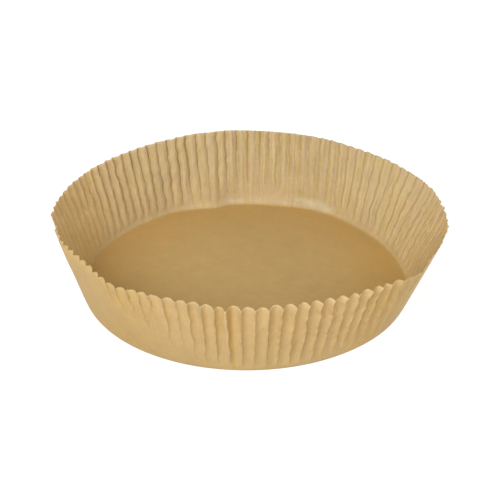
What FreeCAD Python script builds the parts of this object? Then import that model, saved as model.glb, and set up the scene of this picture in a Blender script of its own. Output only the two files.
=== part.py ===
# Fluted round baking cup of thin kraft paper, open at the top.
#
# One round blank of paper is pressed into a shallow cup: a flat round floor, a
# sharp pressed fold round it, and a wall that leans outwards.  The blank is
# wider than the cup it becomes, so the wall gathers into upright flutes.  Each
# flute is a band that bulges towards the axis, steeper on one flank than on the
# other, and neighbouring bands meet in a narrow crease that points outwards.
# A plain band runs round the foot of the wall; above it the flutes grow
# towards the rim.  The cup is soft, so the fold, the lean, the creases and the
# depth of the flutes wander round it, as the tables below say.
#
# Frame: millimetres, +Z up, origin at the middle of the floor's underside.

import FreeCAD, Part

import os
from math import acos, asin, cos, degrees, exp, pi, radians, sin, sqrt, tan

# ---- driving dimensions -------------------------------------------------
PAPER = 0.06            # thickness of the sheet
FOLD_R = 0.7            # radius of the pressed fold, on the sheet's middle
FLUTES = 100            # upright flutes round the wall

# Where the floor's and the wall's planes meet: bearing in degrees, radius.
FOLD = ((-10, 90.2), (2, 89.9), (14, 89.5), (26, 89.7), (38, 90.1), (44, 90.6), (50, 91.5),
        (56, 92.5), (62, 92.8), (68, 92.3), (74, 91.2), (80, 90.6), (92, 90.4), (97, 90.0),
        (99.5, 88.6), (102.8, 87.1), (106.5, 87.8), (110.5, 89.0), (115, 90.1), (121, 90.6),
        (126, 90.1), (132, 89.2), (145, 89.2), (160, 89.3), (175, 89.4), (190, 89.8),
        (270, 89.9), (300, 90.0), (322, 90.4), (338, 90.5))
# Every 7.5 degrees: radius of the rim over the outward creases, and the
# length of the wall from fold to rim.
RIM_R = (109.7, 110.2, 110.8, 111.0, 110.7, 110.2, 109.4, 108.5, 107.7, 106.8, 105.9, 105.0,
         104.1, 103.4, 102.7, 102.0, 101.4, 101.4, 101.5, 101.8, 102.1, 102.5, 103.2, 104.1,
         105.1, 105.8, 104.1, 104.1, 103.1, 102.7, 104.2, 105.8, 104.6, 104.3, 104.4, 105.6,
         105.6, 105.7, 105.8, 105.6, 106.2, 107.1, 108.6, 110.1, 108.3, 108.5, 109.0, 109.9)
WALL_L = (46.7, 46.6, 46.7, 46.4, 46.1, 46.2, 45.9, 45.7, 46.2, 46.5, 46.9, 47.2,
          47.5, 48.0, 48.3, 47.6, 46.8, 46.8, 46.8, 46.9, 46.8, 46.8, 46.9, 46.9,
          46.9, 47.0, 47.0, 47.0, 47.1, 47.1, 47.0, 46.9, 47.1, 47.0, 47.0, 46.7,
          46.7, 46.7, 46.7, 46.9, 46.9, 46.9, 46.8, 46.7, 46.8, 46.9, 46.9, 46.8)

# Bearings of the outward creases in degrees, at the rim and at the foot.
BACK = (
    (12.0, 12.0), (15.5, 15.2), (20.25, 20.2), (24.9, 23.6), (29.25, 26.9), (33.0, 30.5),
    (36.4, 34.0), (40.4, 37.5), (44.0, 41.0), (47.7, 44.6), (50.8, 48.4), (54.1, 51.3),
    (57.5, 54.7), (60.8, 58.9), (64.5, 62.3), (68.0, 66.0), (71.0, 70.1), (74.8, 73.0),
    (78.3, 76.9), (82.0, 81.2), (85.1, 84.7), (89.6, 89.2), (93.4, 93.0), (97.5, 96.9),
    (100.5, 100.4), (104.3, 104.0), (108.2, 107.7), (111.8, 111.3), (115.4, 115.2),
    (119.0, 118.9), (123.3, 122.4), (127.0, 126.2), (130.8, 129.9), (134.3, 133.2),
    (138.0, 136.9), (142.0, 140.6), (145.5, 144.5), (149.1, 148.7), (152.8, 152.4),
    (156.3, 155.8), (159.5, 159.2), (163.0, 162.9), (166.9, 166.8), (171.0, 170.9))
LEFT = (
    (174.3, 174.2), (177.4, 177.3), (180.6, 180.7), (185.5, 185.3), (189.0, 188.9),
    (192.2, 192.2), (195.4, 195.6), (199.0, 199.1), (202.3, 202.5), (205.8, 206.0),
    (209.3, 209.6), (212.7, 213.1), (216.5, 216.8), (219.7, 220.2), (223.6, 223.9),
    (226.7, 227.2), (230.2, 230.6))
FRONT = (
    (233.6, 234.0), (237.2, 237.6), (240.5, 240.9), (244.0, 244.5), (247.6, 247.8),
    (251.6, 251.4), (255.0, 254.8), (258.4, 258.1), (262.0, 261.7), (265.2, 265.5),
    (268.9, 269.2), (272.6, 272.75), (276.1, 276.4), (279.5, 279.8), (283.1, 283.4),
    (286.8, 287.0), (290.3, 290.7), (293.6, 294.3), (297.2, 297.8), (300.8, 301.3),
    (304.5, 305.0), (308.0, 308.6), (311.5, 312.3))
RIGHT = (
    (315.2, 315.9), (318.8, 319.4), (322.6, 323.0), (326.2, 326.4), (329.8, 329.9),
    (333.2, 333.4), (336.5, 336.7), (339.8, 340.0), (343.2, 343.5), (346.8, 346.9),
    (350.2, 350.4), (354.5, 354.2), (357.6, 357.8), (362.4, 361.6), (365.7, 365.2),
    (368.9, 368.6))
CREASES = BACK + LEFT + FRONT + RIGHT

# How the flutes vary round the wall, by bearing in degrees.
DEPTH = ((0, 1.5), (12, 1.8), (30, 1.8), (60, 1.5), (84, 1.4), (100, 1.7), (112, 2.3),
         (140, 2.6), (152, 2.1), (166, 1.5), (184, 1.5), (195, 1.9), (215, 2.0), (229, 1.9),
         (236, 1.5), (246, 1.6), (253, 2.1), (261, 2.8), (290, 3.1), (303, 3.0), (310, 2.6),
         (315, 1.6), (320, 0.8), (345, 0.6), (354, 1.0))
# Where across a flute the bulge stands highest, as a share of its width.
PEAK = ((0, 0.42), (12, 0.42), (24, 0.5), (31, 0.68), (55, 0.7), (70, 0.6), (85, 0.5),
        (100, 0.4), (115, 0.42), (135, 0.46), (165, 0.46), (180, 0.42), (205, 0.47),
        (226, 0.46), (234, 0.44), (246, 0.42), (254, 0.4), (262, 0.4), (270, 0.44),
        (280, 0.52), (292, 0.6), (303, 0.66), (314, 0.66), (322, 0.6), (335, 0.5))
# How full the two flanks are: 1 is a straight flank, more is rounder.
LOW_FLANK = ((0, 1.6), (24, 1.5), (31, 1.4), (60, 1.4), (85, 1.7), (105, 1.5), (118, 1.3),
             (160, 1.3), (190, 1.4), (215, 1.5), (232, 3.0), (250, 2.8), (262, 2.2),
             (280, 2.1), (300, 1.8), (314, 1.7), (335, 1.5))
HIGH_FLANK = ((0, 1.8), (24, 1.7), (31, 1.5), (60, 1.6), (85, 1.9), (110, 1.8), (160, 1.5),
              (190, 1.4), (215, 1.6), (232, 1.7), (250, 2.0), (262, 2.8), (272, 3.2),
              (284, 3.0), (296, 2.5), (312, 2.1), (335, 1.7))
# Over the height, a flute's depth grows as this power of the distance up.
GROWTH = ((6, 0.8), (14, 0.5), (45, 0.5), (60, 0.75), (100, 0.6), (150, 0.5), (180, 0.8),
          (195, 4.0), (203, 16.0), (222, 18.0), (228, 12.0), (234, 5.0), (240, 3.4),
          (246, 2.6), (252, 1.5), (258, 0.9), (266, 0.55), (306, 0.5), (314, 0.9), (320, 1.8),
          (335, 3.2), (348, 2.8), (358, 1.6))
# Height of the plain band at the foot of the wall.
PLAIN = ((0, 0.5), (30, 0.7), (45, 2.0), (55, 5.0), (75, 7.0), (98, 6.0), (104, 3.0),
         (112, 2.5), (150, 2.0), (172, 1.8), (190, 2.0), (200, 3.0), (235, 3.0), (260, 2.6),
         (300, 2.6), (330, 2.0))
# How far the rim dips at a crease.
DIP = ((0, 0.2), (22, 0.6), (40, 0.9), (58, 0.8), (75, 0.2), (120, 0.1), (180, 0.2),
       (300, 0.0))
# Creases that are partly flattened out: bearing, share of the depth that is gone.
FLATTENED = ((189.0, .80), (192.2, .85), (199.0, .75), (205.8, .25), (174.3, .45), (180.6, .4),
             (343.2, .65), (336.5, .5), (333.2, .35), (326.2, .3), (318.8, .3),
             (354.5, .2), (5.7, .35), (20.25, .3), (89.6, .2), (8.9, .3))
DEEPEST = 265.2         # this crease is the deepest, by this share
DEEPER = 1.16
DEEP_PEAK = -0.06       # and its bulge stands this much nearer the crease
DEEP_FLANK = 2.1        # with a fuller flank beside the crease
SQUEEZED = 0.84         # the flute before it ends at this share of its width,
SQUEEZED_FLANK = 5.0    # and its far flank drops steeply into the crease
NOTCH = (232.4, 1.9, 1.3)   # a shallow dip of the rim: bearing, spread, depth

# ---- how finely the curves are divided into flat facets --------------------
ACROSS = (0.0, 0.10, 0.24, 0.45, 0.68, 0.88)     # across one flute
CORNER_STEPS = 2                                 # round the fold's small radius
CLIMBS = (0.13, 0.50, 0.86, 1.0)                 # up the wall, as shares
FLUTE_FACETS = len(ACROSS)
FLOOR_PER_FLUTE = 2                              # round the floor, for each flute

HALF = PAPER / 2.0
CREASE_RIM = [radians(rim) for rim, foot in CREASES]
CREASE_FOOT = [radians(foot) for rim, foot in CREASES]
assert len(CREASES) == FLUTES


def read(pairs, bearing):
    """A smooth periodic function of bearing through the listed values."""
    n = len(pairs)
    x = (degrees(bearing) - pairs[0][0]) % 360.0 + pairs[0][0]
    i = n - 1
    while i > 0 and pairs[i][0] > x:
        i -= 1

    def value(k):
        return pairs[k % n][1]

    def step(k):
        return (pairs[(k + 1) % n][0] - pairs[k % n][0]) % 360.0

    def rate(k):
        return (value(k + 1) - value(k)) / step(k)

    def slope(k):
        a, b = rate(k - 1), rate(k)
        return 2 * a * b / (a + b) if a * b > 0 else 0.0

    f = (x - pairs[i][0]) / step(i)
    m0, m1 = slope(i) * step(i), slope(i + 1) * step(i)
    return ((2 * f ** 3 - 3 * f ** 2 + 1) * value(i) + (f ** 3 - 2 * f ** 2 + f) * m0
            + (3 * f ** 2 - 2 * f ** 3) * value(i + 1) + (f ** 3 - f ** 2) * m1)


RIM_TABLE = [(7.5 * i, v) for i, v in enumerate(RIM_R)]
WALL_TABLE = [(7.5 * i, v) for i, v in enumerate(WALL_L)]


def fold_radius(bearing):
    return read(FOLD, bearing)


def wall_length(bearing):
    return read(WALL_TABLE, bearing)


def lean(bearing):
    """Lean of the wall from upright at a bearing, in radians."""
    reach = read(RIM_TABLE, bearing) - fold_radius(bearing) - 0.5
    return asin(reach / wall_length(bearing))


def tangent_length(bearing):
    """From the line where the planes meet to where the fold's arc ends."""
    return FOLD_R * tan((pi / 2 - lean(bearing)) / 2)


def corner_point(bearing, step):
    """A point of the fold's arc: step 0 is on the floor."""
    turn = (pi / 2 - lean(bearing)) * step / CORNER_STEPS
    r = fold_radius(bearing) + 0.5 - tangent_length(bearing) + FOLD_R * sin(turn)
    z = FOLD_R * (1 - cos(turn))
    return (r * cos(bearing), r * sin(bearing), z + HALF)


flattened = [0.04] * FLUTES
for at, share in FLATTENED:
    best = min(range(FLUTES), key=lambda i: abs((degrees(CREASE_RIM[i]) - at + 180) % 360 - 180))
    flattened[best] = share
deepest = min(range(FLUTES), key=lambda i: abs(degrees(CREASE_RIM[i]) - DEEPEST))


def crease(k, climb):
    """Bearing of crease k at a share of the wall's height."""
    i = k % FLUTES
    return (CREASE_FOOT[i] + (CREASE_RIM[i] - CREASE_FOOT[i]) * climb
            + 2 * pi * (k // FLUTES))


def bulge(x, peak, low, high):
    """Height of a flute's section, 0 at the creases and 1 at its peak."""
    if x < peak:
        return 1 - (1 - x / peak) ** low
    return 1 - ((x - peak) / (1 - peak)) ** high


def wall_point(flute, x, climb):
    """A point of the wall, at share x across a flute."""
    c0, c1 = crease(flute, climb), crease(flute + 1, climb)
    middle = (c0 + c1) / 2
    start = tangent_length(middle)
    whole = wall_length(middle)
    s = start + (whole - start) * climb
    band = read(PLAIN, middle)
    rise = max(0.0, min(1.0, (s - band) / (whole - band)))
    deep = read(DEPTH, middle) * rise ** read(GROWTH, middle) if rise > 0 else 0.0
    if flute == deepest:
        deep *= DEEPER
    peak, low, high, share = read(PEAK, middle), read(LOW_FLANK, middle), read(HIGH_FLANK, middle), x
    if flute == deepest:
        peak, low = peak + DEEP_PEAK, DEEP_FLANK
    if flute == deepest - 1:
        high, share = SQUEEZED_FLANK, min(1.0, x / SQUEEZED)
    h = bulge(share, peak, low, high)
    level = flattened[flute] + (flattened[(flute + 1) % FLUTES] - flattened[flute]) * x
    h = level + (1 - level) * h
    bearing = c0 + x * (c1 - c0)
    start = tangent_length(bearing)
    s = start + (wall_length(bearing) - start) * climb
    s -= read(DIP, bearing) * (1 - h) * climb ** 6
    off = (degrees(bearing) - NOTCH[0] + 180) % 360 - 180
    s -= NOTCH[2] * exp(-(off / NOTCH[1]) ** 2) * climb ** 8
    a = lean(bearing)
    r = fold_radius(bearing) + 0.5 + s * sin(a) - deep * h * cos(a)
    z = s * cos(a) + deep * h * sin(a)
    return (r * cos(bearing), r * sin(bearing), z + HALF)


# ---- the sheet's middle surface, as rings of points ------------------------
rings = []
for step in range(CORNER_STEPS + 1):
    ring = []
    for i in range(FLUTES):
        a, b = crease(i, 0.0), crease(i + 1, 0.0)
        for j in range(FLOOR_PER_FLUTE):
            ring.append(corner_point(a + (b - a) * j / FLOOR_PER_FLUTE, step))
    rings.append(ring)
for climb in CLIMBS:
    rings.append([wall_point(i, x, climb) for i in range(FLUTES) for x in ACROSS])

points, first = [], []
for ring in rings:
    first.append(len(points))
    points.extend(ring)


def strip(low, high):
    """Triangles between two rings; a ring may have a multiple of the other's points."""
    a, b = len(rings[low]), len(rings[high])
    k = b // a
    out = []
    for i in range(a):
        p, q = first[low] + i, first[low] + (i + 1) % a
        top = [first[high] + (i * k + j) % b for j in range(k + 1)]
        half = k // 2
        if k == 1:
            half = 1 if i % 2 else 0
        for j in range(half):
            out.append((p, top[j + 1], top[j]))
        out.append((p, q, top[half]))
        for j in range(half, k):
            out.append((q, top[j + 1], top[j]))
    return out


triangles = []
for low in range(len(rings) - 1):
    triangles.extend(strip(low, low + 1))


def cross(u, v):
    return (u[1] * v[2] - u[2] * v[1], u[2] * v[0] - u[0] * v[2], u[0] * v[1] - u[1] * v[0])


def unit(v):
    size = sqrt(v[0] ** 2 + v[1] ** 2 + v[2] ** 2)
    return (v[0] / size, v[1] / size, v[2] / size)


def dot(u, v):
    return u[0] * v[0] + u[1] * v[1] + u[2] * v[2]


# ---- give the middle surface its thickness ---------------------------------
# Each point moves half the thickness off the planes of the facets round it.
around = [[] for _ in points]
normals = []
for t in triangles:
    p, q, s = (points[i] for i in t)
    u = tuple(b - a for a, b in zip(p, q))
    v = tuple(b - a for a, b in zip(p, s))
    m = unit(cross(u, v))                          # towards the outside
    normals.append(m)
    for corner in range(3):
        c = points[t[corner]]
        e = unit(tuple(b - a for a, b in zip(c, points[t[(corner + 1) % 3]])))
        g = unit(tuple(b - a for a, b in zip(c, points[t[(corner + 2) % 3]])))
        around[t[corner]].append((acos(max(-1.0, min(1.0, dot(e, g)))), m))

shift = []
for i, facets in enumerate(around):
    if i < len(rings[0]):                          # the floor's edge stays level
        shift.append((0.0, 0.0, -HALF))
        continue
    mean = unit(tuple(sum(w * m[k] for w, m in facets) for k in range(3)))
    grow = HALF / max(0.4, min(dot(mean, m) for _, m in facets))
    shift.append(tuple(grow * c for c in mean))

outer = [FreeCAD.Vector(*(a + b for a, b in zip(p, d))) for p, d in zip(points, shift)]
inner = [FreeCAD.Vector(*(a - b for a, b in zip(p, d))) for p, d in zip(points, shift)]


def facet(a, b, c):
    return Part.Face(Part.makePolygon([a, b, c, a]))


faces = []
for a, b, c in triangles:
    faces.append(facet(outer[a], outer[b], outer[c]))
    faces.append(facet(inner[a], inner[c], inner[b]))

# the cut edge at the rim
rim = list(range(first[-1], first[-1] + len(rings[-1])))
for i, j in zip(rim, rim[1:] + rim[:1]):
    faces.append(facet(outer[i], outer[j], inner[j]))
    faces.append(facet(outer[i], inner[j], inner[i]))

# the floor's underside and its upper side
edge = list(range(len(rings[0])))
faces.append(Part.Face(Part.makePolygon([outer[i] for i in reversed(edge)] + [outer[edge[-1]]])))
faces.append(Part.Face(Part.makePolygon([inner[i] for i in edge] + [inner[0]])))

shell = Part.Shell(faces)
shell.sewShape()
if shell.ShapeType != "Shell":
    shell = shell.Shells[0]
liner = Part.Solid(shell)
if liner.Volume < 0:
    liner.reverse()

box = liner.BoundBox
print("facets", len(liner.Faces), "valid", liner.isValid(), "closed", shell.isClosed())
print("volume mm3 %.1f" % liner.Volume)
print("box", ["%.3f" % v for v in (box.XMin, box.XMax, box.YMin, box.YMax, box.ZMin, box.ZMax)])

os.makedirs("parts", exist_ok=True)
liner.exportStep("parts/liner.step")
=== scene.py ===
import math

import bpy
import numpy as np
from mathutils import Matrix, Vector


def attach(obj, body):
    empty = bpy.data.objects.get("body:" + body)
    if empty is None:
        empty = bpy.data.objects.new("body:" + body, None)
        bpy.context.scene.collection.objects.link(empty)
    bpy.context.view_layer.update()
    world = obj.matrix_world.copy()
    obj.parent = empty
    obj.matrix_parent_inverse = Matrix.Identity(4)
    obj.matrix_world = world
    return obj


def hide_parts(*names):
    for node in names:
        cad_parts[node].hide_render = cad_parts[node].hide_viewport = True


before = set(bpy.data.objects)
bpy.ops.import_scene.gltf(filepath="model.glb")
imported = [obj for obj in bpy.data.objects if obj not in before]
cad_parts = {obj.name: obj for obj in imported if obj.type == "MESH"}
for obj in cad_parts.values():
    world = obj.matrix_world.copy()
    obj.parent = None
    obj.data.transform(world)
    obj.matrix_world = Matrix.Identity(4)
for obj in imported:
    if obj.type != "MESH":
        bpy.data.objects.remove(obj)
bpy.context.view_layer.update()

MM = 0.001
rng = np.random.default_rng(4)

# ---------------------------------------------------------------- camera ----
# Placed first: a long lens from in front, looking down on the cup.
LENS_PX = 1079.39                       # focal length in units of a 500 wide frame
EYE = Vector((0.0, -525.52, 312.57)) * MM
PITCH, YAW, ROLL = (math.radians(a) for a in (29.308, 0.270, 0.358))
fw = Vector((math.sin(YAW) * math.cos(PITCH), math.cos(YAW) * math.cos(PITCH), -math.sin(PITCH)))
rt = fw.cross(Vector((0, 0, 1))).normalized()
up = rt.cross(fw)
rt, up = (math.cos(ROLL) * rt + math.sin(ROLL) * up,
          -math.sin(ROLL) * rt + math.cos(ROLL) * up)
cam_data = bpy.data.cameras.new("camera")
cam_data.sensor_width = 36.0
cam_data.lens = LENS_PX * 36.0 / 500.0
cam_data.clip_start, cam_data.clip_end = 0.01, 50.0
cam = bpy.data.objects.new("camera", cam_data)
bpy.context.scene.collection.objects.link(cam)
cam.matrix_world = Matrix.Translation(EYE) @ Matrix((rt, up, -fw)).transposed().to_4x4()
bpy.context.scene.camera = cam

# ------------------------------------------------- the pressed form, in mm ----
# These repeat the tables and driving dimensions of the CAD model.
PAPER, FOLD_R, FLUTES = 0.06, 0.7, 100
HALF = PAPER / 2

# The fold round the floor: bearing in degrees, radius.
FOLD = ((-10, 90.2), (2, 89.9), (14, 89.5), (26, 89.7), (38, 90.1), (44, 90.6), (50, 91.5),
        (56, 92.5), (62, 92.8), (68, 92.3), (74, 91.2), (80, 90.6), (92, 90.4), (97, 90.0),
        (99.5, 88.6), (102.8, 87.1), (106.5, 87.8), (110.5, 89.0), (115, 90.1), (121, 90.6),
        (126, 90.1), (132, 89.2), (145, 89.2), (160, 89.3), (175, 89.4), (190, 89.8),
        (270, 89.9), (300, 90.0), (322, 90.4), (338, 90.5))
# Every 7.5 degrees: radius of the rim over the outward creases, and the
# length of the wall from fold to rim.
RIM_R = (109.7, 110.2, 110.8, 111.0, 110.7, 110.2, 109.4, 108.5, 107.7, 106.8, 105.9, 105.0,
         104.1, 103.4, 102.7, 102.0, 101.4, 101.4, 101.5, 101.8, 102.1, 102.5, 103.2, 104.1,
         105.1, 105.8, 104.1, 104.1, 103.1, 102.7, 104.2, 105.8, 104.6, 104.3, 104.4, 105.6,
         105.6, 105.7, 105.8, 105.6, 106.2, 107.1, 108.6, 110.1, 108.3, 108.5, 109.0, 109.9)
WALL_L = (46.7, 46.6, 46.7, 46.4, 46.1, 46.2, 45.9, 45.7, 46.2, 46.5, 46.9, 47.2,
          47.5, 48.0, 48.3, 47.6, 46.8, 46.8, 46.8, 46.9, 46.8, 46.8, 46.9, 46.9,
          46.9, 47.0, 47.0, 47.0, 47.1, 47.1, 47.0, 46.9, 47.1, 47.0, 47.0, 46.7,
          46.7, 46.7, 46.7, 46.9, 46.9, 46.9, 46.8, 46.7, 46.8, 46.9, 46.9, 46.8)

# Bearings of the outward creases in degrees, at the rim and at the foot.
BACK = (
    (12.0, 12.0), (15.5, 15.2), (20.25, 20.2), (24.9, 23.6), (29.25, 26.9), (33.0, 30.5),
    (36.4, 34.0), (40.4, 37.5), (44.0, 41.0), (47.7, 44.6), (50.8, 48.4), (54.1, 51.3),
    (57.5, 54.7), (60.8, 58.9), (64.5, 62.3), (68.0, 66.0), (71.0, 70.1), (74.8, 73.0),
    (78.3, 76.9), (82.0, 81.2), (85.1, 84.7), (89.6, 89.2), (93.4, 93.0), (97.5, 96.9),
    (100.5, 100.4), (104.3, 104.0), (108.2, 107.7), (111.8, 111.3), (115.4, 115.2),
    (119.0, 118.9), (123.3, 122.4), (127.0, 126.2), (130.8, 129.9), (134.3, 133.2),
    (138.0, 136.9), (142.0, 140.6), (145.5, 144.5), (149.1, 148.7), (152.8, 152.4),
    (156.3, 155.8), (159.5, 159.2), (163.0, 162.9), (166.9, 166.8), (171.0, 170.9))
LEFT = (
    (174.3, 174.2), (177.4, 177.3), (180.6, 180.7), (185.5, 185.3), (189.0, 188.9),
    (192.2, 192.2), (195.4, 195.6), (199.0, 199.1), (202.3, 202.5), (205.8, 206.0),
    (209.3, 209.6), (212.7, 213.1), (216.5, 216.8), (219.7, 220.2), (223.6, 223.9),
    (226.7, 227.2), (230.2, 230.6))
FRONT = (
    (233.6, 234.0), (237.2, 237.6), (240.5, 240.9), (244.0, 244.5), (247.6, 247.8),
    (251.6, 251.4), (255.0, 254.8), (258.4, 258.1), (262.0, 261.7), (265.2, 265.5),
    (268.9, 269.2), (272.6, 272.75), (276.1, 276.4), (279.5, 279.8), (283.1, 283.4),
    (286.8, 287.0), (290.3, 290.7), (293.6, 294.3), (297.2, 297.8), (300.8, 301.3),
    (304.5, 305.0), (308.0, 308.6), (311.5, 312.3))
RIGHT = (
    (315.2, 315.9), (318.8, 319.4), (322.6, 323.0), (326.2, 326.4), (329.8, 329.9),
    (333.2, 333.4), (336.5, 336.7), (339.8, 340.0), (343.2, 343.5), (346.8, 346.9),
    (350.2, 350.4), (354.5, 354.2), (357.6, 357.8), (362.4, 361.6), (365.7, 365.2),
    (368.9, 368.6))
creases = np.radians(np.array(BACK + LEFT + FRONT + RIGHT))
assert len(creases) == FLUTES
rim_at, foot_at = creases[:, 0], creases[:, 1]


def table(pairs):
    """A smooth periodic function of bearing through the listed values."""
    at = np.array([p[0] for p in pairs], float)
    value = np.array([p[1] for p in pairs], float)
    step = np.diff(np.append(at, at[0] + 360))
    rate = np.diff(np.append(value, value[0])) / step
    before = np.roll(rate, 1)
    slope = np.where(rate * before > 0, 2 * rate * before / np.where(rate + before == 0, 1, rate + before), 0.0)

    def read(t):
        x = (np.degrees(t) - at[0]) % 360 + at[0]
        i = np.clip(np.searchsorted(at, x, side="right") - 1, 0, len(at) - 1)
        f = (x - at[i]) / step[i]
        v0, v1 = value[i], value[(i + 1) % len(at)]
        m0, m1 = slope[i] * step[i], slope[(i + 1) % len(at)] * step[i]
        return ((2 * f ** 3 - 3 * f ** 2 + 1) * v0 + (f ** 3 - 2 * f ** 2 + f) * m0
                + (3 * f ** 2 - 2 * f ** 3) * v1 + (f ** 3 - f ** 2) * m1)
    return read


fold_r = table(FOLD)
rim_r = table([(7.5 * i, v) for i, v in enumerate(RIM_R)])
wall_l = table([(7.5 * i, v) for i, v in enumerate(WALL_L)])


def ring_noise(t, cells, seed, octaves=1):
    """Smooth noise round the circle, about -1 to 1."""
    out, size = np.zeros_like(t), 1.0
    for o in range(octaves):
        n = cells * 2 ** o
        v = np.random.default_rng(seed + 31 * o).uniform(-1, 1, n)
        x = (t / (2 * np.pi) * n) % n
        i = np.floor(x).astype(int)
        f = x - i
        f = f * f * (3 - 2 * f)
        out += size * (v[i % n] * (1 - f) + v[(i + 1) % n] * f)
        size *= 0.5
    return out


def sheet_noise(x, y, cell, seed, octaves=1):
    """Smooth noise over the plane, about -1 to 1, with features cell wide."""
    out, size = np.zeros_like(x), 1.0
    for o in range(octaves):
        v = np.random.default_rng(seed + 17 * o).uniform(-1, 1, (256, 256))
        gx, gy = x / cell * 2 ** o + 64.3, y / cell * 2 ** o + 91.7
        ix, iy = np.floor(gx).astype(int), np.floor(gy).astype(int)
        fx, fy = gx - ix, gy - iy
        fx, fy = fx * fx * (3 - 2 * fx), fy * fy * (3 - 2 * fy)
        a, b = v[ix % 256, iy % 256], v[(ix + 1) % 256, iy % 256]
        c, d = v[ix % 256, (iy + 1) % 256], v[(ix + 1) % 256, (iy + 1) % 256]
        out += size * ((a * (1 - fx) + b * fx) * (1 - fy) + (c * (1 - fx) + d * fx) * fy)
        size *= 0.5
    return out


def line_noise(which, s, cell, seed):
    """Smooth noise along s, about -1 to 1, a different one for each which."""
    v = np.random.default_rng(seed).uniform(-1, 1, (4096, 64))
    g = s / cell + 5
    i = np.floor(g).astype(int)
    f = g - i
    f = f * f * (3 - 2 * f)
    return v[which % 4096, i % 64] * (1 - f) + v[which % 4096, (i + 1) % 64] * f


def bump_at(t, at, spread):
    off = (t - math.radians(at) + np.pi) % (2 * np.pi) - np.pi
    return np.exp(-(off / math.radians(spread)) ** 2)


def smooth(e0, e1, x):
    f = np.clip((x - e0) / (e1 - e0), 0, 1)
    return f * f * (3 - 2 * f)


def lean(t):
    return np.arcsin((rim_r(t) - fold_r(t) - 0.5) / wall_l(t))


def tangent_length(t):
    return FOLD_R * np.tan((np.pi / 2 - lean(t)) / 2)


# How the flutes vary round the wall: their depth at the rim, where across
# each one the bulge stands highest, how full the two flanks are, the share of
# the height over which they grow, and the plain band left under them.
depth_at = table(((0, 1.5), (12, 1.8), (30, 1.8), (60, 1.5), (84, 1.4), (100, 1.7), (112, 2.3), (140, 2.6),
                  (152, 2.1), (166, 1.5), (184, 1.5), (195, 1.9), (215, 2.0), (229, 1.9), (236, 1.5), (246, 1.6),
                  (253, 2.1), (261, 2.8), (290, 3.1), (303, 3.0), (310, 2.6), (315, 1.6), (320, .8), (345, .6),
                  (354, 1.0)))
peak_at = table(((0, .42), (12, .42), (24, .50), (31, .68), (55, .70), (70, .60), (85, .50), (100, .40),
                 (115, .42), (135, .46), (165, .46), (180, .42), (205, .47), (226, .46), (234, .44), (246, .42),
                 (254, .40), (262, .40), (270, .44), (280, .52), (292, .60), (303, .66), (314, .66),
                 (322, .60), (335, .50)))
low_flank = table(((0, 1.6), (24, 1.5), (31, 1.4), (60, 1.4), (85, 1.7), (105, 1.5), (118, 1.3), (160, 1.3),
                   (190, 1.4), (215, 1.5), (232, 3.0), (250, 2.8), (262, 2.2), (280, 2.1), (300, 1.8), (314, 1.7),
                   (335, 1.5)))
high_flank = table(((0, 1.8), (24, 1.7), (31, 1.5), (60, 1.6), (85, 1.9), (110, 1.8), (160, 1.5), (190, 1.4),
                    (215, 1.6), (232, 1.7), (250, 2.0), (262, 2.8), (272, 3.2), (284, 3.0), (296, 2.5), (312, 2.1),
                    (335, 1.7)))
growth = table(((6, .8), (14, .5), (45, .5), (60, .75), (100, .6), (150, .5), (180, .8), (195, 4.0), (203, 16.0),
                (222, 18.0), (228, 12.0), (234, 5.0), (240, 3.4), (246, 2.6), (252, 1.5), (258, .9), (266, .55),
                (306, .5), (314, .9), (320, 1.8), (335, 3.2), (348, 2.8), (358, 1.6)))
plain = table(((0, .5), (30, .7), (45, 2.0), (55, 5.0), (75, 7.0), (98, 6.0), (104, 3.0), (112, 2.5),
               (150, 2.0), (172, 1.8), (190, 2.0), (200, 3.0), (235, 3.0), (260, 2.6), (300, 2.6), (330, 2.0)))
belly = table(((0, .2), (45, .5), (62, 1.2), (90, 1.1), (104, .5), (130, .3), (200, .2), (300, .2)))
dip = table(((0, .2), (22, .6), (40, .9), (58, .8), (75, .2), (120, .1), (180, .2), (300, 0.0)))

# Round the wall: how strong the small folds inside a flute are, how far up
# they start, how much the creases wander, and how crumpled the panels are.
small_folds = table(((0, .65), (30, .6), (50, .65), (62, .75), (80, .85), (100, .8), (110, .6), (130, .45),
                     (160, .4), (180, .35), (215, .2), (250, .22), (290, .25), (330, .24)))
small_from = table(((0, 3.0), (45, 4.0), (62, 9.0), (90, 9.0), (104, 7.0), (120, 4.0), (180, 4.0), (300, 4.0)))
wander = table(((0, 1.9), (30, 1.7), (50, 1.2), (70, 1.1), (100, 1.2), (130, 1.5), (180, 1.4), (228, 1.4),
                (240, 1.9), (252, 1.5), (262, .8), (268, .7), (280, 1.0), (290, 1.6), (300, 2.0), (312, 2.1),
                (325, 1.8), (335, 1.6)))
crumpled = table(((0, 2.8), (20, 2.6), (45, 1.2), (90, .7), (130, 1.0), (160, 1.5), (180, 2.0), (200, 1.4),
                  (215, 1.0), (232, 1.3), (262, .9), (290, 1.0), (305, 1.9), (325, 1.8), (345, 2.2)))
# Where the wall is left smooth between its few folds.
calm = table(((0, 1.0), (180, 1.0), (194, .5), (202, .2), (224, .2), (232, .7), (240, 1.0), (308, 1.0), (316, .4),
              (322, .2), (340, .2), (350, .7)))

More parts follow.
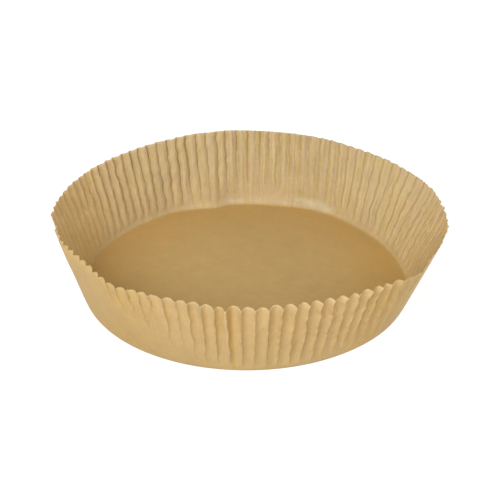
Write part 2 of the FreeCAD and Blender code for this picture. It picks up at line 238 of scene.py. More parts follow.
# Each flute's own character, and creases that have been flattened out.
own_depth = 1.0 + 0.08 * rng.standard_normal(FLUTES).clip(-2, 2)
own_peak = rng.uniform(-0.05, 0.05, FLUTES)
lift = rng.uniform(0.0, 0.10, FLUTES)
for bearing, amount in ((189.0, .80), (192.2, .85), (199.0, .75), (205.8, .25), (174.3, .45), (180.6, .4),
                        (343.2, .65), (336.5, .5), (333.2, .35), (326.2, .3), (318.8, .3),
                        (354.5, .2), (365.7, .35), (20.25, .3), (89.6, .2), (368.9, .3)):
    lift[np.argmin(abs(np.degrees(rim_at) - bearing))] = amount
deep_one = int(np.argmin(abs(np.degrees(rim_at) - 265.2)))
own_depth[deep_one], own_peak[deep_one] = 1.16, -0.06

ACROSS = np.array([0, .035, .09, .17, .27, .38, .49, .60, .71, .82, .91, .965])
PER = len(ACROSS)
COLS = FLUTES * PER
flute = np.repeat(np.arange(FLUTES), PER)
across = np.tile(ACROSS, FLUTES)
column = np.arange(COLS)


def crease_line(k, climb, s):
    """Bearing of crease k at share climb of the wall, s mm up it."""
    i = k % FLUTES
    turn = 2 * np.pi * (k // FLUTES)
    base = foot_at[i] + (rim_at[i] - foot_at[i]) * climb + turn
    wob = wander(base) * (0.24 * line_noise(i, s, 7.0, 3) + 0.32 * line_noise(i, s, 2.9, 4))
    return base + wob * smooth(0, 8, s) / 90.0


def profile(x, p, a, b):
    low = 1 - np.clip(1 - x / p, 0, 1) ** a
    high = 1 - np.clip((x - p) / (1 - p), 0, 1) ** b
    return np.where(x < p, low, high)


# Short slanting kinks pressed into the panels: from bearing and height, to
# bearing and height, and how far in.
KINKS = ((17.3, 17.5, 20.6, 17.0, .35), (20.2, 37, 21.0, 24, -.30), (12.5, 33, 15.6, 36, .30), (22.0, 29, 25.0, 36, .30),
         (27.0, 27, 29.0, 21, -.25), (33.0, 12, 36.2, 16, .25), (9.0, 22, 11.5, 14, .30), (5.0, 36, 8.5, 28, .35),
         (38.0, 33, 40.0, 28, -.20), (14.0, 9, 16.5, 14, .30), (2.0, 27, 5.2, 33, .30), (358.0, 35, 360.5, 25, -.3),
         (231.6, 41, 234.4, 31, .35), (236.0, 43, 237.6, 33, .40), (239.6, 41, 240.6, 28, -.35),
         (242.9, 37, 241.2, 22, .35), (245.4, 38, 246.7, 26, -.32), (249.2, 34, 247.7, 19, .32),
         (252.4, 39, 253.8, 27, -.25), (256.0, 30, 257.3, 18, .22), (233.5, 30, 236.2, 26, .25),
         (290.6, 37, 293.2, 30, -.28), (294.2, 41, 296.8, 33, -.30), (298.4, 31, 300.2, 21, .28),
         (301.6, 41, 303.8, 29, -.32), (305.2, 26, 307.3, 19, .28), (308.4, 38, 311.0, 27, .32),
         (286.9, 28, 289.9, 22, .22), (296.9, 20, 299.9, 14, .25), (312.4, 33, 314.4, 25, -.3),
         (316.5, 38, 318.4, 30, .3), (275.4, 34, 273.4, 28, -.15), (128.0, 33, 130.0, 28, .25),
         (135.2, 22, 137.2, 28, -.25), (145.6, 30, 147.8, 24, .28), (155.8, 34, 158.4, 27, .25),
         (161.0, 24, 163.0, 31, -.28), (117.5, 27, 118.6, 20, .2), (150.0, 17, 152.0, 22, .25))


def kinked(t, s):
    out = np.zeros_like(t)
    for b0, s0, b1, s1, size in KINKS:
        x = ((np.degrees(t) - b0 + 180) % 360 - 180) * 1.8
        dx, ds = (b1 - b0) * 1.8, s1 - s0
        along = np.clip((x * dx + (s - s0) * ds) / (dx * dx + ds * ds), 0, 1)
        off = np.hypot(x - along * dx, s - s0 - along * ds)
        out += 2.1 * size * np.clip(1 - off / 1.4, 0, 1) * np.minimum(1, 4 * along * (1 - along) + 0.4)
    return out


def wall_ring(climb):
    """Bearing, distance up the wall and inward offset of one ring."""
    whole = wall_l((rim_at[flute] + 0 * column))
    c0 = crease_line(flute, climb, whole * climb)
    c1 = crease_line(flute + 1, climb, whole * climb)
    middle = (c0 + c1) / 2
    start = tangent_length(middle)
    s = start + (wall_l(middle) - start) * climb
    band = plain(middle) + 0.9 * line_noise(flute, s * 0, 9.0, 41)
    rise = np.clip((s - band) / (wall_l(middle) - band), 0, 1)
    deep = depth_at(middle) * rise ** growth(middle) * smooth(0, 2.5, s - band)
    deep = deep * own_depth[flute] * (1 + 0.12 * line_noise(flute, s, 13.0, 6))
    p = (peak_at(middle) + own_peak[flute] + 0.05 * line_noise(flute, s, 11.0, 7)
         + 0.035 * wander(middle) * line_noise(flute, s, 3.4, 8))
    p = np.clip(p, .15, .8)
    low_power = np.where(flute == deep_one, 2.1, low_flank(middle))
    high_power = np.where(flute == deep_one - 1, 5.0, high_flank(middle))
    x = np.where(flute == deep_one - 1, np.minimum(1, across / 0.84), across)
    h = profile(x, p, low_power, high_power)
    facing = np.sqrt(np.clip(1 - across / (1.1 * p), 0, 1)) * np.clip(deep / 2.0, 0, 1)
    up0, up1 = lift[flute], lift[(flute + 1) % FLUTES]
    floor_level = up0 + (up1 - up0) * across
    h = floor_level + (1 - floor_level) * h
    t = c0 + across * (c1 - c0)
    crimp = np.zeros(COLS)
    inward = deep * h - 0.55 * rise * bump_at(t, 264.5, 0.75)
    for k, (x0, x1) in enumerate(((.28, .46), (.50, .66), (.70, .86))):
        middle_x = x0 + (x1 - x0) * (0.5 + 0.5 * line_noise(flute * 3 + k, s * 0, 9.0, 61))
        middle_x = middle_x + 0.05 * line_noise(flute * 3 + k, s, 6.0, 62)
        size = (-0.27, 0.25, -0.12)[k] * (1 + 0.5 * line_noise(flute * 3 + k, s * 0, 5.0, 65))
        size = size + 0.24 * line_noise(flute * 3 + k, s, 16.0, 63) + 0.12 * line_noise(flute * 3 + k, s, 4.0, 64)
        size = size * small_folds(middle) * smooth(0, 7, s - small_from(middle))
        line = np.clip(1 - abs(across - middle_x) / 0.095, 0, 1)
        inward = inward + size * line
        crimp = crimp + size * line
    return t, inward, deep, h, crimp, facing


points, blank, fold, high, pale, small_fold_shading, flanks, flecks, valleys = [], [], [], [], [], [], [], [], []
rings = []


def add_ring(xyz, flat_r, flat_t, fold_v, high_v, pale_v=None, small_fold_shading_v=None, flank_v=None, fleck_v=None,
             valley_v=None):
    n = len(xyz)
    rings.append((len(points), n))
    points.extend(map(tuple, xyz))
    blank.extend(zip(flat_r * np.cos(flat_t), flat_r * np.sin(flat_t), np.zeros(n)))
    fold.extend(fold_v)
    high.extend(high_v)
    pale.extend(np.zeros(n) if pale_v is None else pale_v)
    small_fold_shading.extend(np.zeros(n) if small_fold_shading_v is None else small_fold_shading_v)
    flanks.extend(np.zeros(n) if flank_v is None else flank_v)
    flecks.extend(np.zeros(n) if fleck_v is None else fleck_v)
    valleys.extend(np.zeros(n) if valley_v is None else valley_v)


# material bearing of each column, where it leaves the floor
c0 = foot_at[flute]
c1 = np.where(flute + 1 < FLUTES, foot_at[(flute + 1) % FLUTES], foot_at[0] + 2 * np.pi)
col_t = c0 + (c1 - c0) * across

floor_r = fold_r(col_t) + 0.5 - tangent_length(col_t)


def floor_height(x, y, share):
    """Gentle unevenness of the floor, none below the plane it rests on."""
    wave = 0.26 * (1 + sheet_noise(x, y, 34.0, 11)) + 0.08 * (1 + sheet_noise(x, y, 13.0, 12))
    return wave * smooth(1.0, 0.88, share)


SHARES = (0.10, 0.20, 0.31, 0.42, 0.52, 0.61, 0.69, 0.76, 0.82, 0.87, 0.91, 0.94, 0.965, 0.985, 1.0)
STEPS = (24, 12, 12, 6, 6, 6, 6, 6, 6, 6, 6, 2, 2, 1, 1)


def painted_glints(t, s):
    """Painted highlights: pale glints at the foot of the wall, where it catches the light."""
    out = np.zeros_like(t)
    for at, spread, height, reach in ((62.5, 5.0, 4.4, 2.0), (68.5, 2.6, 5.0, 1.2), (95.0, 3.0, 2.6, 0.8),
                                      (92.3, 1.4, 1.8, 0.7), (57.5, 2.5, 2.4, 1.6)):
        out += bump_at(t, at, spread) * np.exp(-((s - height) / reach) ** 2)
    return np.clip(out * (0.75 + 0.5 * sheet_noise(t * 100, s, 3.0, 51)), 0, 1)


for share, step in zip(SHARES, STEPS):
    t = col_t[::step]
    r = floor_r[::step] * share
    x, y = r * np.cos(t), r * np.sin(t)
    z = HALF + floor_height(x, y, share)
    add_ring(np.stack([x, y, z], 1), r, t, np.zeros(len(t)), np.zeros(len(t)))

CORNER_STEPS = 2
for i in range(1, CORNER_STEPS + 1):
    t = col_t
    turn = (np.pi / 2 - lean(t)) * i / CORNER_STEPS
    r = floor_r + FOLD_R * np.sin(turn)
    z = FOLD_R * (1 - np.cos(turn)) + HALF
    # painted highlights: pale glints on the corner rings too
    add_ring(np.stack([r * np.cos(t), r * np.sin(t), z], 1), floor_r + FOLD_R * turn, t,
             np.zeros(COLS), np.full(COLS, 0.004 * i), painted_glints(t, z))

# which side of a crease holds the painted shade line
shade_low = table(((0, .35), (60, .5), (95, 1.0), (330, 1.0)))
shade_high = table(((0, 1.0), (60, .9), (95, .5), (120, .3), (330, .3)))

# how wide the painted shade line is, as a share of a flute
line_wide = table(((0, .08), (60, .08), (100, .10), (113, .155), (145, .155), (160, .10), (330, .10)))

# painted highlights: small pale flecks where the creases that stand out catch the light
on_crease = np.interp(across, (0, .035, .09, .82, .91, .965), (.8, .2, .0, .0, .3, 1.0))
crease_of = (flute + (across > 0.5)) % FLUTES
flecked = table(((0, .0), (225, .0), (240, .5), (262, .9), (300, 1.0), (312, .9), (322, .0)))

WALL_STEPS = 34
for i in range(1, WALL_STEPS + 1):
    climb = (i / WALL_STEPS) ** 1.08
    t, inward, deep, h, crimp, facing = wall_ring(climb)
    l = lean(t)
    start = tangent_length(t)
    s = start + (wall_l(t) - start) * climb
    s = s - dip(t) * (1 - h) * climb ** 6
    s = s - 1.3 * bump_at(t, 232.4, 1.9) * climb ** 8
    s = s + 0.16 * line_noise(column * 5, s * 0, 9.0, 71) * crumpled(t) * climb ** 12
    # the panels carry faint lengthwise streaks and crumpling
    streak = 0.08 * line_noise(column * 13, s, 11.0, 21) + 0.04 * line_noise(column * 7, s, 4.0, 22)
    crumple = 0.09 * crumpled(t) * sheet_noise(t * 100, s * 0.7, 2.4, 23) + 0.13 * sheet_noise(t * 100, s, 9.0, 24)
    crumple = crumple + 0.16 * crumpled(t) * line_noise(column * 3, s, 2.6, 25) * climb ** 10
    inward = inward + (streak * np.minimum(1, deep) + crumple) * calm(t) * smooth(0, 6, s) + kinked(t, s)
    inward = inward - belly(t) * (s / 5.0) * np.exp(1 - s / 5.0)
    r = fold_r(t) + 0.5 + s * np.sin(l) - inward * np.cos(l)
    z = s * np.cos(l) + inward * np.sin(l) + HALF
    # painted shade: a darker line beside each crease
    dark = np.where(across < 0.5, shade_low(t) * np.exp(-(across / line_wide(t)) ** 2),
                    shade_high(t) * np.exp(-((1 - across) / (0.7 * line_wide(t))) ** 2))
    dark = dark * np.clip(deep / 1.5, 0, 1) * (0.85 + 0.25 * line_noise(flute, s, 5.0, 26)
                                          + 0.25 * line_noise(flute, s, 1.9, 27))
    flat = floor_r + FOLD_R * (np.pi / 2 - lean(col_t)) + (s - tangent_length(t))
    # each ring carries masks for painted light and shade: the crease shade line, the glints, the light and shade along
    # small folds, the shaded flank, the highlight flecks on the creases and the valleys
    add_ring(np.stack([r * np.cos(t), r * np.sin(t), z], 1), flat, col_t,
             dark, s / 47.0, painted_glints(t, s), crimp / 0.3, facing,
             on_crease * flecked(t) * smooth(10, 24, s) * smooth(0.05, 0.6, line_noise(crease_of, s, 1.7, 81)),
             np.clip(1 - h, 0, 1) ** 1.5 * np.clip(deep / 1.5, 0, 1))

P = np.array(points)
N_MID = len(P)

# ---- facets of the middle surface, anticlockwise seen from outside ----------
quads, tris = [], []


def strip(low, high):
    (a0, a), (b0, b) = rings[low], rings[high]
    k = b // a
    for i in range(a):
        p, q = a0 + i, a0 + (i + 1) % a
        if k == 1:
            quads.append((p, q, b0 + (i + 1) % b, b0 + i))
            continue
        top = [b0 + (i * k + j) % b for j in range(k + 1)]
        half = k // 2
        for j in range(half):
            tris.append((p, top[j + 1], top[j]))
        tris.append((p, q, top[half]))
        for j in range(half, k):
            tris.append((q, top[j + 1], top[j]))


for low in range(len(rings) - 1):
    strip(low, low + 1)
middle_r = rings[0][1]
cx = N_MID
P = np.vstack([P, [[0.0, 0.0, P[:middle_r, 2].mean()]]])
blank.append((0.0, 0.0, 0.0)); fold.append(0.0); high.append(0.0); pale.append(0.0); small_fold_shading.append(0.0)
flanks.append(0.0); flecks.append(0.0); valleys.append(0.0)
for i in range(middle_r):
    tris.append((cx, (i + 1) % middle_r, i))

quads, tris = np.array(quads), np.array(tris)
both = np.vstack([quads[:, [0, 1, 2]], quads[:, [0, 2, 3]], tris])
n = np.cross(P[both[:, 1]] - P[both[:, 0]], P[both[:, 2]] - P[both[:, 0]])
normal = np.zeros_like(P)
for c in range(3):
    np.add.at(normal, both[:, c], n)
normal /= np.linalg.norm(normal, axis=1)[:, None]
M = len(P)
outer, inner = P + normal * HALF, P - normal * HALF
print("lowest outer", outer[:, 2].min(), "normal z at the centre", normal[cx, 2])

verts = np.vstack([outer, inner]) * MM
rim0, rimn = rings[-1]
edge = np.arange(rimn)
nxt = (edge + 1) % rimn
rim_quads = np.stack([rim0 + edge, rim0 + nxt, M + rim0 + nxt, M + rim0 + edge], 1)
# both faces are cut along the same diagonals, so that they can't cross in a twisted facet
faces = ([tuple(f) for f in both] + [tuple(f[::-1]) for f in both + M]
         + [tuple(f) for f in rim_quads])
mesh = bpy.data.meshes.new("liner_sheet")
mesh.from_pydata(verts.tolist(), [], faces)
mesh.validate()
mesh.shade_smooth()
blank = np.array(blank)
at = mesh.attributes.new("blank", "FLOAT_VECTOR", "POINT")
at.data.foreach_set("vector", np.vstack([blank, blank]).astype(np.float32).ravel() * 0.1)
at = mesh.attributes.new("fold", "FLOAT", "POINT")
# how strong the painted crease shade is round the wall, outside and inside
line_out = table(((0, .3), (225, .3), (233, 1.3), (246, 1.2), (254, .7), (262, .35), (285, .3), (300, .4), (316, .4)))
line_in = table(((0, .75), (25, .8), (58, 1.0), (76, 1.3), (90, 1.15), (100, .58), (112, .62), (128, .68), (145, .85), (158, .48), (170, .3), (185, .3),
                 (220, .5)))
bearing_of = np.arctan2(P[:, 1], P[:, 0])
fold = np.array(fold)
at.data.foreach_set("value", np.concatenate([fold * line_out(bearing_of), fold * line_in(bearing_of)]).astype(np.float32))
at = mesh.attributes.new("climb", "FLOAT", "POINT")
at.data.foreach_set("value", np.tile(np.array(high, np.float32), 2))
# Painted sheen: the inner face of the wall is paler and greyer, fully at the back, fading towards the front and low at
# the right.
at = mesh.attributes.new("inside", "FLOAT", "POINT")
neutral = table(((-30, .1), (-8, .35), (8, .8), (20, .95), (60, 1.0), (120, 1.0), (145, .75), (162, .25), (175, .05), (270, 0.0)))
high_of = np.array(high)
neutral_of = neutral(bearing_of) * (1 - 0.6 * bump_at(bearing_of, -10, 22) * (1 - high_of))
at.data.foreach_set("value", np.concatenate([np.zeros(M), neutral_of]).astype(np.float32))
# Bearing and height as a seamless map: round the wall at 10 cm, then up it.
turned = np.stack([10 * np.cos(bearing_of), 10 * np.sin(bearing_of), 4.7 * np.array(high)], 1)
at = mesh.attributes.new("round", "FLOAT_VECTOR", "POINT")
at.data.foreach_set("vector", np.vstack([turned, turned]).astype(np.float32).ravel())
at = mesh.attributes.new("side", "FLOAT", "POINT")
at.data.foreach_set("value", np.repeat(np.float32([0.0, 1.0]), M))
# painted light and shade along the small folds inside the flutes
at = mesh.attributes.new("crimp", "FLOAT", "POINT")
at.data.foreach_set("value", np.tile(np.array(small_fold_shading, np.float32), 2))
# painted highlights: glints at the foot of the wall, and flecks on the creases outside
at = mesh.attributes.new("pale", "FLOAT", "POINT")
at.data.foreach_set("value", np.concatenate([np.maximum(pale, 0.36 * np.array(flecks)), pale]).astype(np.float32))

# The flat blank is the map for a bake: one disc for each side of the sheet.
uv = mesh.uv_layers.new(name="OFBake")
loops = np.empty(len(mesh.loops), np.int32)
mesh.loops.foreach_get("vertex_index", loops)
# Painted shade in amber lines: down the deepest crease and the flute beside it on the outside, and a few thin ones
# along the creases at the back on the inside.
deg = np.degrees(bearing_of) % 360
up_s = 47.0 * high_of


def yellow_line(at, half, low, top, lean_by=0.0):
    off = deg - at - lean_by * (1 - up_s / 45.0)
    edge = np.clip((half - abs(off)) / 0.22 + 0.5, 0, 1)
    return edge * smooth(low - 3, low + 3, up_s) * (1 - smooth(top - 2, top + 2, up_s))


yellow_out = np.maximum(0.78 * yellow_line(265.85, .46, 0.5, 60.0, 0.6), 0.42 * yellow_line(263.2, .85, 28.0, 60.0))
yellow_in = np.zeros(M)
for line in ((71.5, .18, 22, 46, .6), (75.2, .15, 28, 50, .6), (78.6, .2, 30, 50, .5), (82.3, .15, 15, 38, .6),
             (85.7, .15, 12, 50, .5), (89.4, .28, 15, 41, .95), (92.8, .2, 28, 46, .5), (24.0, .5, 28, 36, .3),
             (57.2, .2, 10, 30, .3), (68.2, .15, 30, 47, .4)):
    yellow_in = np.maximum(yellow_in, line[4] * yellow_line(*line[:4]))
at = mesh.attributes.new("yellow", "FLOAT", "POINT")
at.data.foreach_set("value", np.concatenate([yellow_out, yellow_in]).astype(np.float32))

# Painted shade: how much the foot of the wall deepens in colour, by bearing and height, and the floor near the front
# and the right of the wall.
foot_tone = table(((0, .8), (180, .8), (200, 1.6), (225, 1.5), (245, 1.2), (265, 1.2), (290, 1.1), (310, 1.1), (330, 1.3)))
on_the_wall = high_of > 0
foot_out = foot_tone(bearing_of) * (1 - high_of) * on_the_wall
foot_in = 0.5 * (1 - smooth(0.5, 5.0, up_s)) * on_the_wall * (1 - np.array(pale))
foot_in = foot_in + 0.7 * bump_at(bearing_of, 177, 14) * on_the_wall
across_floor = np.hypot(P[:, 0], P[:, 1])
foot_in = foot_in + (1 - on_the_wall) * (1.0 * bump_at(bearing_of, -6, 34) * smooth(50, 85, across_floor)
                                         + 1.5 * bump_at(bearing_of, -104, 70) * smooth(20, 78, across_floor))
at = mesh.attributes.new("foot", "FLOAT", "POINT")
at.data.foreach_set("value", np.concatenate([foot_out, foot_in]).astype(np.float32))

# Painted light and shade: broad differences in tone round the inside of the wall.
round_tone = table(((0, .75), (20, .42), (45, .32), (60, .3), (90, .9), (110, 1.3), (145, 1.3), (156, .9), (166, .4), (185, .1),
                    (330, .3)))
# painted shade along the creases inside
olive_line = table(((0, .2), (60, .3), (100, .6), (112, 1.6), (145, 1.6), (160, .6), (172, .0), (330, .0)))
at = mesh.attributes.new("lighter", "FLOAT", "POINT")
# painted light and shade round the outside of the wall, by bearing
round_out = table(((0, .0), (196, -.5), (205, -.8), (228, -.6), (240, -.25), (255, .45), (270, 1.3), (290, 1.3),
                   (305, 1.05), (314, .0), (319, -.7), (326, -1.2), (338, -1.2)))
# painted shade in the corner at the foot of the inner wall
in_the_corner = -1.7 * np.exp(-((high_of - 0.0055) / 0.0035) ** 2) * on_the_wall * (1 - np.array(pale))
# painted shade on one flank of each flute outside, painted light where the value is negative
flank_dark = table(((0, .3), (255, .3), (275, .2), (290, .05), (298, -.1), (312, -.1), (330, .3)))
# painted shade low on the front of the outer wall
low_front = -1.75 * np.clip(1 - high_of, 0, 1) ** 1.5 * bump_at(bearing_of, 274, 40)
# painted shadow on the floor near the front wall and towards the back left, and a painted patch of light near the left
# edge
front_floor = (-0.62 * smooth(22, -14, P[:, 1]) - 0.35 * np.exp(-((P[:, 0] + 52) ** 2 + (P[:, 1] - 34) ** 2) / 26 ** 2)
               + 0.55 * np.exp(-((P[:, 0] + 80) ** 2 + (P[:, 1] + 2) ** 2) / 14 ** 2)) * (1 - on_the_wall)
# outside, the flecks add painted highlights
at.data.foreach_set("value", np.concatenate([
    (round_out(bearing_of) + low_front - flank_dark(bearing_of) * np.array(flanks) + 0.5 * np.array(flecks)) * on_the_wall,
    (round_tone(bearing_of) - olive_line(bearing_of) * fold) * on_the_wall
    + in_the_corner + front_floor]).astype(np.float32))
# Painted shade colour: the paper is made warmer on the shaded flanks that face one another and in the valleys, where
# light bounces between the flutes, by bearing, and on the floor near the right of the wall.
flank_by = table(((0, .3), (226, .3), (233, .7), (247, .75), (262, .65), (275, .75), (285, 1.05), (308, 1.1), (320, .6), (330, .4)))
warm_out = table(((0, .75), (198, 1.6), (226, 1.65), (240, .9), (255, .2), (290, .05), (302, .35), (312, 1.35), (320, 1.8),
                  (335, 1.75)))
warm_in = table(((0, .5), (14, .6), (40, .6), (60, .5), (76, .35), (95, .1), (118, .0), (144, .15), (158, .45), (172, .9),
                 (190, 1.1), (215, .2), (335, .55)))
at = mesh.attributes.new("warmth", "FLOAT", "POINT")
at.data.foreach_set("value", np.concatenate([
    (np.array(flanks) * flank_by(bearing_of) + warm_out(bearing_of)) * on_the_wall,
    (warm_in(bearing_of) * (1 - 0.55 * high_of) + 0.45 * np.array(valleys)) * on_the_wall
    + (1 - on_the_wall) * 0.6 * bump_at(bearing_of, -8, 38) * smooth(45, 85, across_floor)]).astype(np.float32))
at = mesh.attributes.new("streaky", "FLOAT", "POINT")
streaky = table(((0, .8), (30, .75), (50, .8), (62, .95), (80, 1.05), (100, 1.1), (110, .8), (130, .55), (160, .5),
                 (180, .4), (215, .25), (250, .3), (290, .35), (330, .3)))
at.data.foreach_set("value", np.tile(streaky(bearing_of).astype(np.float32), 2))

flat_uv = np.vstack([blank, blank])[:, :2] / (4 * 145.0)
flat_uv[:M] += (0.25, 0.5)
flat_uv[M:] += (0.75, 0.5)
uv.data.foreach_set("uv", flat_uv[loops].astype(np.float32).ravel())

liner = bpy.data.objects.new("liner_sheet", mesh)
bpy.context.scene.collection.objects.link(liner)

# ------------------------------------------------------------ the material ----
mat = bpy.data.materials.new("kraft_paper")
mat.use_nodes = True
nt = mat.node_tree
nt.nodes.clear()
link = nt.links.new


def node(kind, **values):
    made = nt.nodes.new(kind)
    for k, v in values.items():
        if k in made.inputs:
            made.inputs[k].default_value = v
        else:
            setattr(made, k, v)
    return made


def attribute(name):
    made = nt.nodes.new("ShaderNodeAttribute")
    made.attribute_name = name
    return made


def math_node(op, a, b=0.0, c=None, clamp=False):
    made = nt.nodes.new("ShaderNodeMath")
    made.operation, made.use_clamp = op, clamp
    for socket, v in zip(made.inputs, (a, b, c)):
        if v is None:
            continue
        if isinstance(v, (int, float)):
            socket.default_value = v
        else:
            link(v, socket)
    return made.outputs[0]


def stretched(source, scale, turn=0.0):
    """Coordinates scaled by axis, after a turn in their plane."""
    made = nt.nodes.new("ShaderNodeMapping")
    made.inputs["Rotation"].default_value = (0, 0, math.radians(turn))
    made.inputs["Scale"].default_value = scale
    link(source, made.inputs["Vector"])
    return made.outputs[0]


def noise(source, scale, detail=2.0, rough=0.5, distort=0.0):
    made = node("ShaderNodeTexNoise", Scale=scale, Detail=detail, Roughness=rough, Distortion=distort)
    link(source, made.inputs["Vector"])
    return made.outputs[0]


def ramp(value, lo, hi, to_lo, to_hi):
    """A straight map of lo..hi to to_lo..to_hi, clamped."""
    made = nt.nodes.new("ShaderNodeMapRange")
    for socket, v in zip(made.inputs[1:5], (lo, hi, to_lo, to_hi)):
        socket.default_value = v
    link(value, made.inputs[0])
    return made.outputs[0]


def mixed(kind, factor, a, b):
    made = nt.nodes.new("ShaderNodeMix")
    made.data_type, made.blend_type = "RGBA", kind
    for socket, v in ((made.inputs[0], factor), (made.inputs[6], a), (made.inputs[7], b)):
        if isinstance(v, (int, float, tuple)):
            socket.default_value = v
        else:
            link(v, socket)
    return made.outputs[2]


def shade(colour, value):
    """A colour multiplied by a plain number."""
    grey = nt.nodes.new("ShaderNodeCombineColor")
    for socket in grey.inputs[:3]:
        link(value, socket)
    return mixed("MULTIPLY", 1.0, colour, grey.outputs[0])


FLOOR_COLOUR = (0.469, 0.308, 0.117, 1.0)
OUTSIDE_COLOUR = (0.468, 0.3225, 0.147, 1.0)
# the inner colour is paler and greyer than the outer: painted sheen
SHEENED_INSIDE_COLOUR = (0.4665, 0.358, 0.192, 1.0)
# the deeper brown of the painted shade at the floor's edge
EDGE_COLOUR = (0.452, 0.268, 0.080, 1.0)
# the colour of painted highlights
PAINTED_HIGHLIGHT_COLOUR = (0.537, 0.470, 0.312, 1.0)

sheet_xy = attribute("blank").outputs["Vector"]
wall_xyz = attribute("round").outputs["Vector"]
climb_v = attribute("climb").outputs["Fac"]
inside_v = attribute("inside").outputs["Fac"]
fold_v = attribute("fold").outputs["Fac"]
pale_v = attribute("pale").outputs["Fac"]
side_v = attribute("side").outputs["Fac"]
crimp_v = attribute("crimp").outputs["Fac"]
yellow_v = attribute("yellow").outputs["Fac"]
foot_v = attribute("foot").outputs["Fac"]
lighter_v = attribute("lighter").outputs["Fac"]
streaky_v = attribute("streaky").outputs["Fac"]
warmth_v = attribute("warmth").outputs["Fac"]

# what the paper is made of: cloudy pulp, short fibres across it, and specks
clouds = noise(sheet_xy, 0.9, 4.0, 0.55)
mottle = noise(stretched(sheet_xy, (0.8, 1.6, 1.0)), 3.2, 5.0, 0.6)
fibres = noise(stretched(sheet_xy, (1.1, 9.0, 1.0), 3.0), 1.6, 4.0, 0.6, 0.4)
cross_fibres = noise(stretched(sheet_xy, (8.0, 1.3, 1.0), -12.0), 1.8, 3.0, 0.55, 0.5)
grain = noise(sheet_xy, 22.0, 3.0, 0.6)
speck = noise(stretched(sheet_xy, (1.0, 2.2, 1.0), 20.0), 9.0, 2.0, 0.5)

# on the wall, streaks run up the flutes
streaks = noise(stretched(wall_xyz, (1.0, 1.0, 0.06)), 9.0, 3.0, 0.55)
wide_streaks = noise(stretched(wall_xyz, (1.0, 1.0, 0.12)), 4.5, 3.0, 0.6)
crumples = noise(stretched(wall_xyz, (1.0, 1.0, 0.6)), 5.0, 4.0, 0.65, 0.3)

on_wall = ramp(climb_v, 0.002, 0.007, 0.0, 1.0)
on_inner_wall = math_node("MULTIPLY", on_wall, inside_v)
colour = mixed("MIX", on_wall, FLOOR_COLOUR, OUTSIDE_COLOUR)
# painted sheen on the inner wall
colour = mixed("MIX", on_inner_wall, colour, SHEENED_INSIDE_COLOUR)

# painted shade: the floor is a deeper brown towards its edge, where the wall shades it and casts back orange light
away = nt.nodes.new("ShaderNodeVectorMath")
away.operation = "LENGTH"
link(sheet_xy, away.inputs[0])
to_edge = ramp(away.outputs["Value"], 4.5, 9.0, 0.0, 0.55)
to_edge = math_node("MULTIPLY", to_edge, ramp(clouds, 0.35, 0.65, 0.55, 1.25))
off_wall = math_node("SUBTRACT", 1.0, on_wall)
colour = mixed("MIX", math_node("MULTIPLY", to_edge, off_wall, clamp=True), colour, EDGE_COLOUR)

tone = math_node("ADD", 1.0, math_node("MULTIPLY", math_node("SUBTRACT", clouds, 0.5), 0.20))
tone = math_node("ADD", tone, math_node("MULTIPLY", math_node("SUBTRACT", mottle, 0.5), 0.18))
tone = math_node("ADD", tone, math_node("MULTIPLY", math_node("SUBTRACT", fibres, 0.5), 0.12))
tone = math_node("ADD", tone, math_node("MULTIPLY", math_node("SUBTRACT", cross_fibres, 0.5), 0.06))
tone = math_node("ADD", tone, math_node("MULTIPLY", math_node("SUBTRACT", grain, 0.5), 0.10))
tone = math_node("SUBTRACT", tone, ramp(speck, 0.70, 0.80, 0.0, 0.14))
lines = math_node("ADD", math_node("MULTIPLY", math_node("SUBTRACT", streaks, 0.5), 0.12),
                  math_node("MULTIPLY", math_node("SUBTRACT", wide_streaks, 0.5), 0.22))
lines = math_node("MULTIPLY", lines, ramp(side_v, 0.0, 1.0, 0.20, 1.0))
lines = math_node("MULTIPLY", lines, math_node("ADD", 0.6, math_node("MULTIPLY", streaky_v, 0.9)))
lines = math_node("ADD", lines, math_node("MULTIPLY", math_node("SUBTRACT", crumples, 0.5), 0.14))
# painted light and shade along the small folds, on the inside face
lines = math_node("ADD", lines, math_node("MULTIPLY", math_node("MULTIPLY", crimp_v, side_v), 0.22))
tone = math_node("ADD", tone, math_node("MULTIPLY", lines, on_wall))
# painted light and shade from the lighter attribute
tone = math_node("ADD", tone, math_node("MULTIPLY", lighter_v, 0.09))
colour = shade(colour, tone)

# lengthwise streaks of yellower and pinker paper on the inside of the wall
tints = noise(stretched(wall_xyz, (1.0, 1.0, 0.05)), 6.0, 2.0, 0.5)
tints = ramp(tints, 0.43, 0.57, 0.0, 1.0)
tint_share = math_node("MULTIPLY", math_node("MULTIPLY", streaky_v, side_v), on_wall)
tint_share = math_node("ADD", math_node("MULTIPLY", tint_share, 0.68),
                       math_node("MULTIPLY", on_wall, ramp(side_v, 0.0, 1.0, 0.10, 0.0)), clamp=True)
yellower = mixed("MULTIPLY", 1.0, colour, (0.99, 0.985, 0.86, 1.0))
pinker = mixed("MULTIPLY", 1.0, colour, (1.01, 0.985, 1.11, 1.0))
colour = mixed("MIX", tint_share, colour, mixed("MIX", tints, yellower, pinker))
# broad patches of yellower and of pinker paper, all over the wall
drift = ramp(noise(stretched(wall_xyz, (1.0, 1.0, 0.7)), 1.9, 3.0, 0.6, 0.5), 0.42, 0.58, 0.0, 1.0)
yellower = mixed("MULTIPLY", 1.0, colour, (0.997, 1.0, 0.95, 1.0))
pinker = mixed("MULTIPLY", 1.0, colour, (1.008, 0.989, 1.03, 1.0))
even = math_node("MULTIPLY", on_wall, ramp(side_v, 0.0, 1.0, 0.8, 0.0))
colour = mixed("MIX", math_node("SUBTRACT", on_wall, even), colour, mixed("MIX", drift, yellower, pinker))
patchy = math_node("SUBTRACT", 1.0, even)
